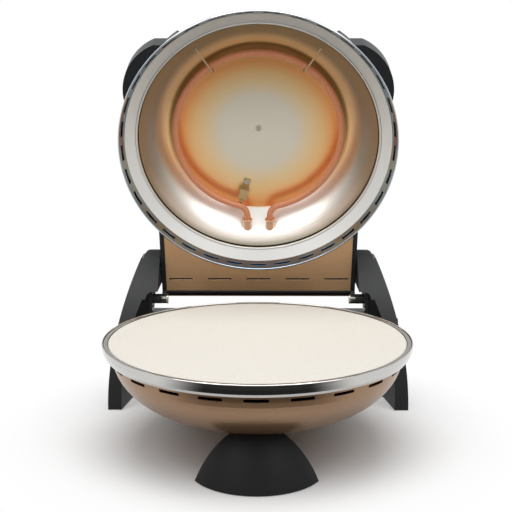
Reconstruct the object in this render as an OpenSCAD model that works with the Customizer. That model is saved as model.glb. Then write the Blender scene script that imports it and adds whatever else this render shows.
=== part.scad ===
// Countertop pizza maker with a round stone hearth and a hinged heated lid.
// Millimetres, +Z up, table at Z = 0, front towards -Y, centred on the footprint.
// Base pieces are drawn about the axis of the stone. Lid pieces are drawn closed,
// with Z = 0 at the lip of the lid, and are then turned open about the hinge.

/* [Stone and base rim] */
// Radius of the baking stone, which the rims, the lid and the legs follow
stone_r = 154.9; // [140:0.1:170]
// Thickness of the baking stone
stone_t = 9.2; // [7:0.1:9.6]
// Height of the base rim above the table
rim_z = 119; // [112:0.5:135]
// Height of the polished band below the rim's top edge
band_h = 15; // [13.5:0.5:18]
// How far the band draws in from its top to its lower edge
band_draw = 8.5; // [7:0.1:8.6]
// Width of the satin ledge round the stone
ledge_w = 4; // [3:0.1:6]
// Clearance between the stone and the pan that holds it
stone_gap = 0.6; // [0.3:0.1:1.2]
// Thickness of the polished rim sheet
rim_sheet = 1.2; // [0.9:0.1:1.4]

/* [Bowl and pan] */
// Fullness of the bowl's side, where 2 would be an ellipse
bowl_full = 2.48; // [2.3:0.02:2.8]
// Depth of the bowl below the rim's top edge
bowl_depth = 82.5; // [78:0.5:90]
// Thickness of the bowl's sheet
bowl_wall = 1.5; // [1.2:0.1:2]
// Number of vents round the bowl
bowl_vents = 22; // [12:1:26]
// Length of one bowl vent
bowl_vent_l = 23.5; // [16:0.5:30]
// Height of one bowl vent
bowl_vent_h = 3.2; // [2:0.1:4]
// Depth of the flat floor of the pan below the rim's top edge
pan_depth = 48; // [42:0.5:54]
// How far the flat floor of the pan reaches beyond the heating ring
pan_floor_out = 1; // [1:0.5:8]
// Width of the step in the pan that the stone rests on
pan_step_w = 12; // [10:0.5:14]

/* [Heating elements] */
// Distance from the edge of the reflector's disc in to the heating ring
ring_inset = 7; // [5:0.5:12]
// Diameter of the heating tube
tube_d = 8; // [6:0.1:9]
// Half the spacing between the two ends of a heating ring
ring_end_x = 14; // [12:0.5:20]
// Radius of the bend at the ends of a heating ring
ring_bend_r = 15; // [10:0.5:16]
// Depth of the lower ring below the rim's top edge
lower_ring_z = 30; // [26:0.5:36]
// Height of the upper ring above the lip of the lid
upper_ring_z = 46; // [40:0.5:50]

/* [Front foot] */
// Radius of the foot's dome where it meets the table
foot_r = 68.5; // [60:0.5:76]
// Distance from the front of the rim back to the axis of the foot's dome
foot_in = 96.8; // [90:0.1:101]
// Distance from the dome's axis forward to the foot's flat back
foot_back = 31.7; // [26:0.5:36]
// Radius of the curved side of the dome
foot_curve_r = 150; // [140:1:170]
// Lean of the dome's side at the table
foot_lean = 18; // [16:0.5:20]
// Wall of the foot
foot_wall = 3; // [2:0.5:4]

/* [Legs] */
// How far the legs stand outside the rim at the table, on either side
leg_spread = 15; // [11:0.5:26]
// Width of a leg at the table, seen from the front
leg_w = 16; // [14:0.5:20]
// Distance from the back of the rim forward to the front of the legs
leg_front_in = 52.5; // [46:0.5:57]
// Distance from the hinge pin to the back of the legs
leg_tail = 41.5; // [40.5:0.5:50]
// Height of the legs above the rim's top edge
leg_rise = 56.3; // [50:0.1:70]
// Radius of the outer side of a leg, seen from the front
leg_side_r = 445; // [400:5:520]
// Radius of the sweep of a leg's front, seen from the side
leg_sweep_r = 214; // [200:1:240]
// Height above the rim's top edge where the leg widens inwards to the lid's neck
shoulder_rise = 13.4; // [11:0.1:21]
// Wall of the leg mouldings
leg_wall = 2.5; // [2:0.1:3]
// How far the rear posts stand outside the inner sides of the shoulders
post_step = 14.2; // [13.2:0.2:17.2]
// Distance from the front of the rear posts back to the hinge pin
post_front = 15.5; // [15:0.5:19]

/* [Hinge and neck] */
// Distance from the back of the rim to the hinge pin
hinge_back = 38; // [35.5:0.5:41.5]
// Depth of the hinge pin below the rim's top edge
hinge_drop = 5; // [4:0.5:6]
// Diameter of the hinge pins
pin_d = 8; // [6:0.1:8.4]
// Running clearance round a pin or shaft
run_gap = 0.05; // [0.02:0.01:0.09]
// How far the lid stands open, from closed
lid_open = 70.7; // [60:0.1:74]
// Clearance between the closed lid and the rim
lid_gap = 1; // [0.6:0.1:2]
// How much narrower than the rim the neck is, on either side
neck_in = 47; // [46.5:0.5:53.5]
// Thickness of the hinge arms
arm_t = 5.3; // [4:0.1:5.6]
// Clearance between the hinge arms and the legs
arm_gap = 1; // [0.6:0.1:1.4]
// Number of slits in the neck panel
slit_count = 5; // [3:1:5]
// Length of one slit
slit_l = 29; // [18:0.5:34]
// Distance from the last slit to the side of the neck
slit_edge = 4; // [3:0.5:12]

/* [Lid] */
// How far the slotted flare draws in from the lip
flare_w = 6.5; // [6:0.1:8]
// How much shallower the slotted flare is than the polished band
flare_short = 4; // [3.5:0.1:5]
// Number of slots round the flare
flare_slots = 33; // [24:1:36]
// Length of one flare slot
flare_slot_l = 19; // [10:0.5:20]
// Width of one flare slot
flare_slot_w = 4; // [2:0.1:5]
// Width of the lip between the flare and the mouth of the reflector
lip_w = 13; // [11:0.5:15]
// How far the lip rises from the flare to the mouth of the reflector
lip_rise = 8; // [6:0.5:9]
// How far the reflector's wall draws in from its mouth to the disc
wall_run = 36; // [32:0.5:39]
// How far the reflector's wall bulges outwards between its mouth and the disc
wall_bulge = 4.5; // [3:0.5:5]
// Height of the reflector's flat disc above the lip
disc_z = 62; // [58:0.5:66]
// How far the lid's shell stands inside the rim
dome_step = 13.5; // [12.5:0.1:15.5]
// Radius of the lid's rounded shoulder
dome_corner_r = 60; // [57:0.5:64]
// Slope of the lid's top where it meets the shoulder
dome_slope = 10; // [6:0.5:14]
// Thickness of the lid's sheet
dome_wall = 1.5; // [1.2:0.1:2]

/* [Handles] */
// Direction of the middle of a handle, from the front of the lid
handle_az = 56.5; // [50:0.5:60]
// How far a handle reaches beyond the rim
handle_out = 11; // [6.5:0.1:16.5]
// Radius of the handle's outer curve
handle_curve_r = 60; // [50:1:70]
// Height of the underside of a handle above the lip
handle_low = 17; // [16:0.5:22]
// Height of a handle
handle_h = 25; // [18:0.5:30]

/* [Controls] */
// Radius of the control knobs
knob_r = 19; // [15:0.5:20]
// Depth of a control knob
knob_t = 12; // [9:0.5:12]
// Height of the control knobs above the table
knob_z = 68; // [60:0.5:76]
// Distance from the hinge pin back to the control knobs
knob_back = 11.5; // [9.5:0.5:13.5]
// Diameter of the control shafts
shaft_d = 6; // [5:0.1:7]
// Radius of the mains cord's hole in the gland
cord_hole_r = 3.6; // [3:0.1:4.5]

/* [Hidden] */
$fn = 96;

copper = "#b08a62";
steel = "#c9cac9";
satin = "#a8a9a8";
black = "#1d1e1f";
dark_metal = "#4a4a4b";
cream = "#ece4d2";
glow = "#c8683c";
ceramic_white = "#e8e4da";
rubber_black = "#151515";

seat = 0.1;              // clearance between fixed pieces that rest on each other
pan_sheet = 0.8;         // thickness of the pan and the reflector
ledge_drop = 0.8;        // satin ledge below the rim's top edge
bead_r = 0.8;            // radius of the rolled edge of the rims
rim_clear = 0.4;         // between the ledge and the rolled edge of the base rim
tube_r = tube_d / 2;
pin_r = pin_d / 2;
shaft_r = shaft_d / 2;
pan_r = stone_r + stone_gap;
ledge_r = pan_r + ledge_w;
rim_r = ledge_r + rim_clear + 2 * bead_r;
step_z = -ledge_drop - stone_t;
step_r = pan_r - pan_step_w;
band_low_r = rim_r - band_draw;
bowl_top_r = band_low_r - rim_sheet - 3 * seat;
bowl_r = bowl_top_r / pow(1 - pow(band_h / bowl_depth, bowl_full), 1 / bowl_full);
hinge_y = rim_r + hinge_back;
hinge_z = rim_z - hinge_drop;
neck_x = rim_r - neck_in;
arm_x = neck_x + arm_t;
leg_in_x = arm_x + arm_gap;
leg_out_x = rim_r + leg_spread;
leg_front_y = rim_r - leg_front_in;
leg_back_y = hinge_y + leg_tail;
leg_h = rim_z + leg_rise;
shoulder_z = rim_z + shoulder_rise;
post_x = leg_in_x + post_step;
post_y = hinge_y - post_front;
knob_y = hinge_y + knob_back;
foot_z = 0.8;            // legs and foot stand this high on their rubber pads
centre_y = (leg_back_y - rim_r) / 2;
leg_inner_x = leg_out_x - leg_w;
leg_inner_z = 20;        // height where the leg's inner side starts to lean
leg_inner_dx = leg_inner_x - post_x;
leg_inner_dz = shoulder_z - leg_inner_z;
leg_inner_r = (pow(leg_inner_dx, 2) + pow(leg_inner_dz, 2)) / (2 * leg_inner_dx);   // leans in to the post
leg_flare = 8;           // how far the leg widens inwards
leg_flare_l = 48;        // over this much of its depth
crest_y = hinge_y + 5.5;   // where a leg's top starts to fall away to the back
crest_fall = 28;         // slope of a leg's top behind the crest

// Points along an arc, in degrees from the first axis.
function arc(cx, cy, r, from, to, steps = 10) =
  [for (i = [0:steps]) let (a = from + (to - from) * i / steps) [cx + r * cos(a), cy + r * sin(a)]];

flare_r = rim_r - flare_w;
flare_h = band_h - flare_short;
mouth_r = flare_r - lip_w;
mouth_z = flare_h + lip_rise;
disc_r = mouth_r - wall_run;
ring_r = disc_r - ring_inset;
pan_floor_r = ring_r + pan_floor_out;

// Height of the dome's shoulder centre, and where the top cap starts.
dome_r = rim_r - dome_step;
dome_z = band_h - 3;
dome_cx = dome_r - dome_corner_r;
cap_r = dome_corner_r + dome_cx / sin(dome_slope);
cap_z = dome_z - dome_cx / tan(dome_slope);

// Height of the lip's underside at radius r, and where the dome's edge clears the lip.
lip_bead_r = 1.2;        // radius of the bead round the mouth
lip_t = 1.25 * pan_sheet;   // upright thickness of the sloping lip
function lip_z(r) = flare_h + lip_rise * (flare_r - seat - r) / (lip_w - seat - lip_bead_r);
skirt_z = lip_z(dome_r - dome_wall) + lip_t + 2 * seat;
collar_z = skirt_z + rim_sheet;

// Radius of the dome's outer face at height z.
function dome_at(z) = dome_cx + sqrt(pow(dome_corner_r, 2) - pow(z - dome_z, 2));

// Outer section of the lid's dome, from the rim up to the axis, moved in by inset.
function dome_points(inset) = concat(
  arc(dome_cx, dome_z, dome_corner_r - inset,
    asin((skirt_z - dome_z) / (dome_corner_r - inset)), 90 - dome_slope, 16),
  [for (i = [1:6]) let (a = dome_slope * (1 - i / 6))
    [(cap_r - inset) * sin(a), cap_z + (cap_r - inset) * cos(a)]]);

// Outer section of the bowl, from its top edge down to the axis, moved in by inset.
bowl_top_a = asin(pow(band_h / bowl_depth, bowl_full / 2));
function bowl_points(inset) = concat(
  [[bowl_top_r - inset, step_z - pan_sheet - seat]],
  [for (i = [0:24]) let (a = bowl_top_a + (90 - bowl_top_a) * i / 24)
    [(bowl_r - inset) * pow(cos(a), 2 / bowl_full), -(bowl_depth - inset) * pow(sin(a), 2 / bowl_full)]]);

// Height of the bowl's outer surface at radius r, from the rim's top edge.
function bowl_z(r) = -bowl_depth * pow(1 - pow(r / bowl_r, bowl_full), 1 / bowl_full);

module at_base() {
  translate([0, -centre_y, 0]) children();
}

module at_rim() {
  at_base() translate([0, 0, rim_z]) children();
}

module at_lid() {
  at_base() translate([0, hinge_y, hinge_z]) rotate([-lid_open, 0, 0])
    translate([0, -hinge_y, hinge_drop + lid_gap]) children();
}

// A rod along X, from x1 to x2.
module rod_x(r, x1, x2) {
  translate([x1, 0, 0]) rotate([0, 90, 0]) cylinder(r = r, h = x2 - x1);
}

// A rod along Y, from y1 to y2.
module rod_y(r, y1, y2) {
  translate([0, y2, 0]) rotate([90, 0, 0]) cylinder(r = r, h = y2 - y1);
}

// A solid of revolution with this section against the axis.
module spun(points) {
  rotate_extrude($fn = 128) polygon(points);
}

// ---- Base ----

// The space of the bowl, grown by this much.
module bowl_cut(grow) {
  translate([0, 0, rim_z]) spun(concat([[0, 0], [bowl_top_r + grow, 0]], bowl_points(-grow)));
}

// Places a screw at radius r of the bowl, square to its skin, with +Z to the inside.
module on_bowl(r, turn) {
  rotate([0, 0, turn]) translate([0, -r, rim_z + bowl_z(r)])
    rotate([-atan((bowl_z(r + 1) - bowl_z(r - 1)) / 2), 0, 0]) children();
}

foot_axis_y = rim_r - foot_in;
foot_back_y = -foot_axis_y - foot_back;
foot_screw_r = -foot_back_y - 10.4;   // where the foot's bracket is screwed to the bowl
saddle_screw_r = rim_r - 39.5;
bowl_bolt_r = 2;
bowl_screws = [[foot_screw_r, -8], [foot_screw_r, 8], [saddle_screw_r, 161], [saddle_screw_r, 199]];
bracket_t = 3;

// Holes for the screws that join the bowl and its brackets.
module bowl_screw_holes() {
  for (p = bowl_screws) on_bowl(p[0], p[1]) translate([0, 0, -10]) cylinder(r = bowl_bolt_r + 0.2, h = 20);
}

module lower_shell() {
  vent_z = -band_h - bowl_vent_h / 2 - 2;
  half_l = (bowl_vent_l - bowl_vent_h) / 2;
  at_rim() color(copper) difference() {
    spun(concat(bowl_points(0), [for (i = [25:-1:0]) bowl_points(bowl_wall)[i]]));
    for (i = [0:bowl_vents - 1]) rotate([0, 0, (i + 0.5) * 360 / bowl_vents])
      translate([bowl_top_r, 0, vent_z]) {
        cube([20, 2 * half_l, bowl_vent_h], center = true);
        for (y = [-half_l, half_l]) translate([-10, y, 0]) rod_x(bowl_vent_h / 2, 0, 20);
      }
    translate([0, 0, -rim_z]) bowl_screw_holes();
  }
}

// Section of a rim's polished band, as offsets from the top edge.
function band_points(inset) = [
  [rim_r - inset, -bead_r],
  [rim_r - 0.5 - inset, -band_h * 0.36],
  [rim_r - 2.1 - inset, -band_h * 0.67],
  [rim_r - 4.6 - inset, -band_h * 0.88],
  [band_low_r - inset, -band_h]];

module lower_rim() {
  at_rim() color(steel) spun(concat(
    band_points(0),
    [for (i = [4:-1:0]) band_points(rim_sheet)[i]],
    arc(rim_r - bead_r, -bead_r, bead_r, 180, 0, 8)));
}

ferrule_r = 5.5;
ferrule_y1 = ring_r + 16.5;
ferrule_top = upper_ring_z + ferrule_r - dome_z;
ferrule_room = dome_cx + sqrt(pow(dome_corner_r - dome_wall, 2) - pow(ferrule_top, 2));   // inside the lid's sheet
ferrule_y2 = sqrt(pow(ferrule_room, 2) - pow(ring_end_x + ferrule_r, 2)) - 1.7;
ring_reach = ferrule_y2 - 4;

// Holes for the ferrules of a heating ring.
module ferrule_holes(z) {
  for (x = [-1, 1]) translate([x * ring_end_x, 0, z]) rod_y(ferrule_r + seat, ring_r - 30, stone_r);
}

module lower_pan() {
  at_rim() color(satin) difference() {
    spun([
      [ledge_r, -ledge_drop], [pan_r, -ledge_drop], [pan_r, step_z], [step_r, step_z],
      [pan_floor_r, -pan_depth], [0, -pan_depth], [0, -pan_depth - pan_sheet],
      [pan_floor_r, -pan_depth - pan_sheet], [step_r, step_z - pan_sheet],
      [pan_r + pan_sheet, step_z - pan_sheet], [pan_r + pan_sheet, -ledge_drop - pan_sheet],
      [ledge_r, -ledge_drop - pan_sheet]]);
    ferrule_holes(-lower_ring_z);
  }
}

module baking_stone() {
  bevel = 0.8;
  at_rim() color(cream) translate([0, 0, step_z]) spun([
    [0, 0], [stone_r - bevel, 0], [stone_r, bevel], [stone_r, stone_t - bevel],
    [stone_r - bevel, stone_t], [0, stone_t]]);
}

bend_thin = 0.15;        // how much the heating tube draws in at its bends

// A heating ring, open at the back, with both ends bent outwards.
module heating_ring() {
  open_a = asin((ring_end_x + ring_bend_r) / (ring_r + ring_bend_r));
  bend_y = (ring_r + ring_bend_r) * cos(open_a);
  bend_lap = 2;
  rotate([0, 0, 90 + open_a]) rotate_extrude(angle = 360 - 2 * open_a)
    translate([ring_r, 0]) circle(r = tube_r);
  for (side = [0, 1]) mirror([side, 0, 0]) {
    translate([ring_end_x + ring_bend_r, bend_y, 0]) rotate([0, 0, 180 - bend_lap])
      rotate_extrude(angle = 90 - open_a + 2 * bend_lap)
        translate([ring_bend_r, 0]) circle(r = tube_r - bend_thin);
    translate([ring_end_x, 0, 0]) rod_y(tube_r, bend_y, ring_reach);
  }
}

module lower_element() {
  at_rim() color(glow) translate([0, 0, -lower_ring_z]) heating_ring();
}

module lower_element_posts() {
  floor_z = -pan_depth + seat;
  tube_low = -lower_ring_z - tube_r - seat;
  at_rim() color(satin) for (a = [30, 150, 270]) rotate([0, 0, a]) translate([ring_r, 0, 0]) {
    translate([-6, -5, floor_z]) cube([6, 10, 1]);
    translate([-1, -5, floor_z]) cube([2, 10, tube_low - floor_z]);
  }
}

// The two sealed ends of a heating ring: a ferrule on the tube and a bare pin.
module ring_terminals() {
  for (x = [-1, 1]) translate([x * ring_end_x, 0, 0]) {
    difference() {
      rod_y(ferrule_r, ferrule_y1, ferrule_y2);
      rod_y(tube_r + seat, ferrule_y1 - 1, ring_reach + seat);
    }
    rod_y(1.5, ferrule_y2 - 1, ferrule_y2 + 2.5);
  }
}

module lower_terminals() {
  at_rim() color(ceramic_white) translate([0, 0, -lower_ring_z]) ring_terminals();
}

foot_plate_t = 3;
foot_screw_x = 16;
foot_screw_z = rim_z - 89;
boss_hole_r = 1.6;       // hole for the thread of a housing screw

// Holes for the screws that join the foot and its bracket, from y1 to y2.
module foot_screw_holes(y1, y2) {
  for (x = [-1, 1]) translate([x * foot_screw_x, 0, foot_screw_z]) rod_y(boss_hole_r, y1, y2);
}

// The foot's dome with its flat back, moved in by inset and cut level at z1.
module foot_form(inset, z1) {
  r = foot_curve_r - inset;
  centre_x = foot_r - foot_curve_r * cos(foot_lean);
  centre_z = -foot_curve_r * sin(foot_lean);
  points = arc(centre_x, centre_z, r, foot_lean - 1, foot_lean + 36, 18);
  intersection() {
    translate([0, -foot_axis_y, 0]) spun(concat([[0, points[0][1]]], points, [[0, points[18][1]]]));
    translate([-100, -300, z1]) cube([200, 300 + foot_back_y - inset, 100]);
  }
}

module front_foot() {
  at_base() color(black) difference() {
    foot_form(0, foot_z);
    foot_form(foot_wall, foot_z - 1);
    bowl_cut(seat);
    foot_screw_holes(foot_back_y - 10, foot_back_y + 1);
  }
}

module foot_base() {
  at_base() color(black) difference() {
    intersection() {
      foot_form(foot_wall + 0.2, foot_z);
      translate([-100, -300, foot_z]) cube([200, 300, foot_plate_t - seat]);
    }
    foot_pad_form(7.9, foot_z + 0.9);
  }
}

module foot_pad_form(inset, h) {
  intersection() {
    foot_form(inset, 0);
    translate([-100, -300, 0]) cube([200, 300, h]);
  }
}

module foot_pad() {
  at_base() color(rubber_black) foot_pad_form(8, foot_z + 0.8);
}

// Sheet bracket behind the foot, bent to follow the bowl.
module foot_bracket() {
  half = 22;
  at_base() color(dark_metal) difference() {
    intersection() {
      translate([-half, foot_back_y + seat, foot_screw_z - 10]) cube([2 * half, 28, 60]);
      union() {
        bowl_cut(seat + bracket_t);
        translate([-half, foot_back_y, 0]) cube([2 * half, 2.5 + seat, 100]);
      }
    }
    bowl_cut(seat);
    foot_screw_holes(foot_back_y - 1, foot_back_y + 5);
    bowl_screw_holes();
  }
}

// Screw with its head inside the bowl and a nut under a bracket of thickness t.
module bowl_screw(t) {
  translate([0, 0, bowl_wall + 2 * seat]) cylinder(r = 4, h = 2.2);
  translate([0, 0, -t - 6]) cylinder(r = bowl_bolt_r, h = t + 6 + bowl_wall + 1);
  translate([0, 0, -t - 3 - 3 * seat]) cylinder(r = 3.8, h = 3);
}

module foot_screws() {
  at_base() color(steel) {
    for (x = [-1, 1]) translate([x * foot_screw_x, 0, foot_screw_z]) {
      rod_y(1.5, foot_back_y - foot_wall - 4, foot_back_y + 3);
      rod_y(3, foot_back_y + 2.5 + 2 * seat, foot_back_y + 4.6);
    }
    for (i = [0, 1]) on_bowl(bowl_screws[i][0], bowl_screws[i][1]) bowl_screw(bracket_t);
  }
}

// ---- Legs and rear frame, drawn for the right side ----

// The front view of a leg, moved in by inset.
module leg_outline(inset) {
  fillet = 8;
  top_x = leg_out_x - leg_side_r + sqrt(pow(leg_side_r, 2) - pow(leg_h, 2));
  difference() {
    intersection() {
      translate([leg_in_x + inset, foot_z + inset]) square([80, leg_h - foot_z - 2 * inset]);
      translate([leg_out_x - leg_side_r, 0]) circle(r = leg_side_r - inset, $fn = 180);
    }
    difference() {
      union() {
        intersection() {
          translate([0, leg_inner_z]) square([leg_inner_x + 10, shoulder_z + inset - leg_inner_z]);
          translate([leg_inner_x - leg_inner_r, leg_inner_z]) circle(r = leg_inner_r + inset, $fn = 180);
        }
        translate([0, -1]) square([leg_inner_x + inset, leg_inner_z + 1.01]);
      }
      translate([post_x - fillet, shoulder_z + inset - fillet]) difference() {
        square(fillet + inset + 3);
        circle(r = fillet + inset, $fn = 48);
      }
    }
    translate([top_x - fillet, leg_h - fillet - inset]) difference() {
      square(fillet + 4);
      circle(r = fillet, $fn = 48);
    }
  }
}

// The leg as a filled form, moved in by inset on every side, and left long at the back.
module leg_form(inset) {
  back = leg_back_y + (inset > 0 ? 1 : 0);
  intersection() {
    union() {
      translate([0, back, 0]) rotate([90, 0, 0]) linear_extrude(back - leg_front_y) leg_outline(inset);
      translate([0, 0, foot_z + inset]) linear_extrude(shoulder_z - foot_z - inset + 2) polygon([
        [leg_inner_x + inset, leg_front_y],
        [leg_inner_x + inset - leg_flare, leg_front_y + leg_flare_l + inset],
        [post_x + inset, post_y + inset], [post_x + inset, back],
        [leg_out_x, back], [leg_out_x, leg_front_y]]);
    }
    translate([0, leg_front_y + leg_sweep_r, 0]) rod_x(leg_sweep_r - inset, neck_x, leg_out_x + 20);
    translate([leg_out_x - leg_side_r, 0, 0]) rotate([90, 0, 0])
      translate([0, 0, -300]) cylinder(r = leg_side_r - inset, h = 300, $fn = 180);
    translate([neck_x, crest_y, leg_h - inset / cos(crest_fall)]) rotate([-crest_fall, 0, 0])
      translate([0, -500, -500]) cube([100, 1000, 500]);
  }
}

cup_floor_x = leg_out_x - knob_t - 1.5;
cup_r = knob_r + 2.5;
cover_t = 2.5;
pad_r = 6;
pad_sink = 1.2;
pad_x = leg_inner_x + leg_w / 2;
pad_ys = [leg_front_y + 16, leg_back_y - 18];
boss_in = leg_wall + 3.6;    // screw bosses stand this far inside a leg's outer faces
screw_spots = [
  [post_x + 13, foot_z + boss_in],
  [post_x + boss_in, shoulder_z - 20.4],
  [leg_in_x + boss_in, shoulder_z + 9.6]];
bracket_holes = [[hinge_y - 10, hinge_z - 10], [hinge_y + 9.5, hinge_z + 5]];

module leg_shell() {
  difference() {
    leg_form(0);
    difference() {
      union() {
        leg_form(leg_wall);
        leg_lid_slab(leg_wall / 2, 0, 1);
      }
      translate([0, knob_y, knob_z]) rod_x(cup_r + leg_wall, cup_floor_x - leg_wall, leg_out_x);
      for (p = screw_spots) translate([p[0], 0, p[1]]) rod_y(4, leg_back_y - 14, leg_back_y - cover_t);
    }
    translate([0, knob_y, knob_z]) rod_x(cup_r, cup_floor_x, leg_out_x + 5);
    translate([0, knob_y, knob_z]) rod_x(shaft_r + 1, post_x + 5, leg_out_x);
    for (p = screw_spots) translate([p[0], 0, p[1]]) rod_y(boss_hole_r, leg_back_y - 13, leg_back_y);
    for (p = bracket_holes) translate([0, p[0], p[1]]) rod_x(2.2, post_x - 5, post_x + 8);
    for (y = pad_ys) translate([pad_x, y, 0]) cylinder(r = pad_r + 0.15, h = foot_z + pad_sink + 0.1);
    translate([0, knob_y, lamp_z]) rod_x(3.1, post_x + 10, leg_out_x);
  }
}

// The slab at the back of a leg that its rear cover fills.
module leg_lid_slab(inset, y_low, y_high) {
  intersection() {
    leg_form(inset);
    translate([neck_x, leg_back_y - cover_t + y_low, 0]) cube([100, cover_t - y_low + y_high, leg_h + 10]);
  }
}

module leg_cover() {
  difference() {
    leg_lid_slab(leg_wall / 2 + 0.15, seat, 0);
    for (p = screw_spots) translate([p[0], 0, p[1]]) {
      rod_y(1.7, leg_back_y - 13, leg_back_y + 1);
      rod_y(3.1, leg_back_y - 1.6, leg_back_y + 1);
    }
  }
}

module left_leg() {
  at_base() color(black) mirror([1, 0, 0]) leg_shell();
}

module right_leg() {
  at_base() color(black) leg_shell();
}

module left_leg_cover() {
  at_base() color(black) mirror([1, 0, 0]) leg_cover();
}

module right_leg_cover() {
  at_base() color(black) leg_cover();
}

module leg_pads() {
  at_base() color(rubber_black) for (side = [-1, 1]) for (y = pad_ys)
    translate([side * pad_x, y, 0]) cylinder(r = pad_r, h = foot_z + pad_sink);
}

bridge_z1 = 22;
bridge_z2 = rim_z - 27;
bridge_y1 = post_y + 6;
bridge_wall = 2.5;

bridge_half = post_x - seat;
cover_half = bridge_half - bridge_wall - 0.15;
cover_low = bridge_z1 + bridge_wall + 0.15;
cover_high = bridge_z2 - bridge_wall - 0.15;
bridge_spots = [for (x = [-1, 1]) for (z = [cover_low + 4.5, cover_high - 4.5]) [x * (cover_half - 4.5), z]];
saddle_bolt_x = 40;
saddle_bolt_z = rim_z - 59;
saddle_bolt_r = 2.5;
gland_x = 45 - post_x;
gland_z = bridge_z1 + 24;

// Holes for the bolts that join the saddle and the rear housing.
module saddle_bolt_holes() {
  for (x = [-1, 1]) translate([x * saddle_bolt_x, 0, saddle_bolt_z])
    rod_y(saddle_bolt_r + 0.2, bridge_y1 - 5, bridge_y1 + 5);
}

module rear_bridge() {
  at_base() color(black) difference() {
    translate([-bridge_half, bridge_y1, bridge_z1])
      cube([2 * bridge_half, leg_back_y - bridge_y1, bridge_z2 - bridge_z1]);
    difference() {
      translate([-bridge_half + bridge_wall, bridge_y1 + bridge_wall, bridge_z1 + bridge_wall])
        cube([2 * (bridge_half - bridge_wall), leg_back_y, bridge_z2 - bridge_z1 - 2 * bridge_wall]);
      for (p = bridge_spots) translate([p[0], 0, p[1]])
        rod_y(5, leg_back_y - 14, leg_back_y - cover_t - seat);
    }
    for (p = bridge_spots) translate([p[0], 0, p[1]]) rod_y(boss_hole_r, leg_back_y - 13, leg_back_y);
    saddle_bolt_holes();
  }
}

module bridge_cover() {
  grille_slot = [3, 20, 26];
  grille_pitch = 8;
  at_base() color(black) difference() {
    translate([-cover_half, leg_back_y - cover_t, cover_low])
      cube([2 * cover_half, cover_t, cover_high - cover_low]);
    translate([gland_x, 0, gland_z]) rod_y(7.1, leg_back_y - 10, leg_back_y + 1);
    for (i = [0:11]) translate([(i - 3.5) * grille_pitch - grille_slot[0] / 2, leg_back_y - 10, bridge_z2 - 44])
      cube(grille_slot);
    for (p = bridge_spots) translate([p[0], 0, p[1]]) {
      rod_y(1.7, leg_back_y - 13, leg_back_y + 1);
      rod_y(3.1, leg_back_y - 1.6, leg_back_y + 1);
    }
  }
}

// The bracket under the back of the bowl, open below, cut to the bowl's curve.
module bowl_saddle() {
  wall = bracket_t;
  half = saddle_bolt_x + 30;
  y1 = rim_r - 69.5;
  z1 = rim_z - 73;
  z2 = rim_z - 35;
  at_base() color(dark_metal) difference() {
    translate([-half, y1, z1]) cube([2 * half, bridge_y1 - seat - y1, z2 - z1]);
    difference() {
      translate([-half + wall, y1 - 1, z1 - 1])
        cube([2 * (half - wall), bridge_y1 - wall - y1 + 1, z2 - wall - z1 + 1]);
      bowl_cut(wall + seat);
    }
    bowl_cut(seat);
    saddle_bolt_holes();
    bowl_screw_holes();
  }
}

hub_r = 6;
washer_t = arm_gap - 0.2;

// Steel plate on the post with the hub that carries the hinge pin.
module hinge_bracket() {
  difference() {
    union() {
      translate([post_x - 4, hinge_y - 14.5, hinge_z - 14.5]) cube([4 - seat, 29, 24]);
      translate([0, hinge_y, hinge_z]) rod_x(hub_r, leg_in_x + seat, post_x - 3);
    }
    translate([0, hinge_y, hinge_z]) rod_x(pin_r + 0.02, neck_x, leg_out_x);
    for (p = bracket_holes) translate([0, p[0], p[1]]) rod_x(2.2, neck_x, leg_out_x);
  }
}

module left_hinge_bracket() {
  at_base() color(dark_metal) mirror([1, 0, 0]) hinge_bracket();
}

module right_hinge_bracket() {
  at_base() color(dark_metal) hinge_bracket();
}

module hinge_pins() {
  at_base() color(steel) for (side = [0, 1]) mirror([side, 0, 0]) translate([0, hinge_y, hinge_z]) {
    rod_x(pin_r, neck_x - 1, post_x - 0.5);
    rod_x(hub_r, neck_x - 2.5, neck_x - 0.3);
  }
}

module hinge_washers() {
  at_base() color(ceramic_white) for (side = [0, 1]) mirror([side, 0, 0]) translate([0, hinge_y, hinge_z])
    difference() {
      rod_x(hub_r, arm_x + 0.15, arm_x + 0.15 + washer_t);
      rod_x(pin_r + 0.03, arm_x, arm_x + 2);
    }
}

// ---- Controls ----

module control_body() {
  difference() {
    union() {
      translate([post_x + leg_wall + 1, knob_y - 14, knob_z - 17])
        cube([cup_floor_x - leg_wall - post_x - leg_wall - 4, 28, 34]);
      translate([0, knob_y, knob_z]) rod_x(6, cup_floor_x - leg_wall - 3.1, cup_floor_x - leg_wall - seat);
    }
    translate([0, knob_y, knob_z]) rod_x(shaft_r + run_gap, post_x + 8, leg_out_x);
  }
}

module control_shaft() {
  translate([0, knob_y, knob_z]) rod_x(shaft_r, post_x + 8.3, cup_floor_x + knob_t - 3);
}

// A knob with a raised finger grip and a pointer line.
module control_knob() {
  low = cup_floor_x + 0.4;
  high = cup_floor_x + knob_t;
  translate([0, knob_y, knob_z]) difference() {
    union() {
      rod_x(knob_r, low, low + 4);
      intersection() {
        rod_x(knob_r - 1.2, low, high);
        translate([low, -5, -knob_r]) cube([knob_t, 10, 2 * knob_r]);
      }
    }
    rod_x(shaft_r + 0.02, low - 1, high - 2.8);
    translate([high - 0.6, -0.7, knob_r - 10]) cube([2, 1.4, 10]);
  }
}

module thermostat_body() {
  at_base() color(dark_metal) control_body();
}

module thermostat_shaft() {
  at_base() color(steel) control_shaft();
}

module thermostat_knob() {
  at_base() color(black) control_knob();
}

module timer_body() {
  at_base() color(dark_metal) mirror([1, 0, 0]) control_body();
}

module timer_shaft() {
  at_base() color(steel) mirror([1, 0, 0]) control_shaft();
}

module timer_knob() {
  at_base() color(black) mirror([1, 0, 0]) control_knob();
}

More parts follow.
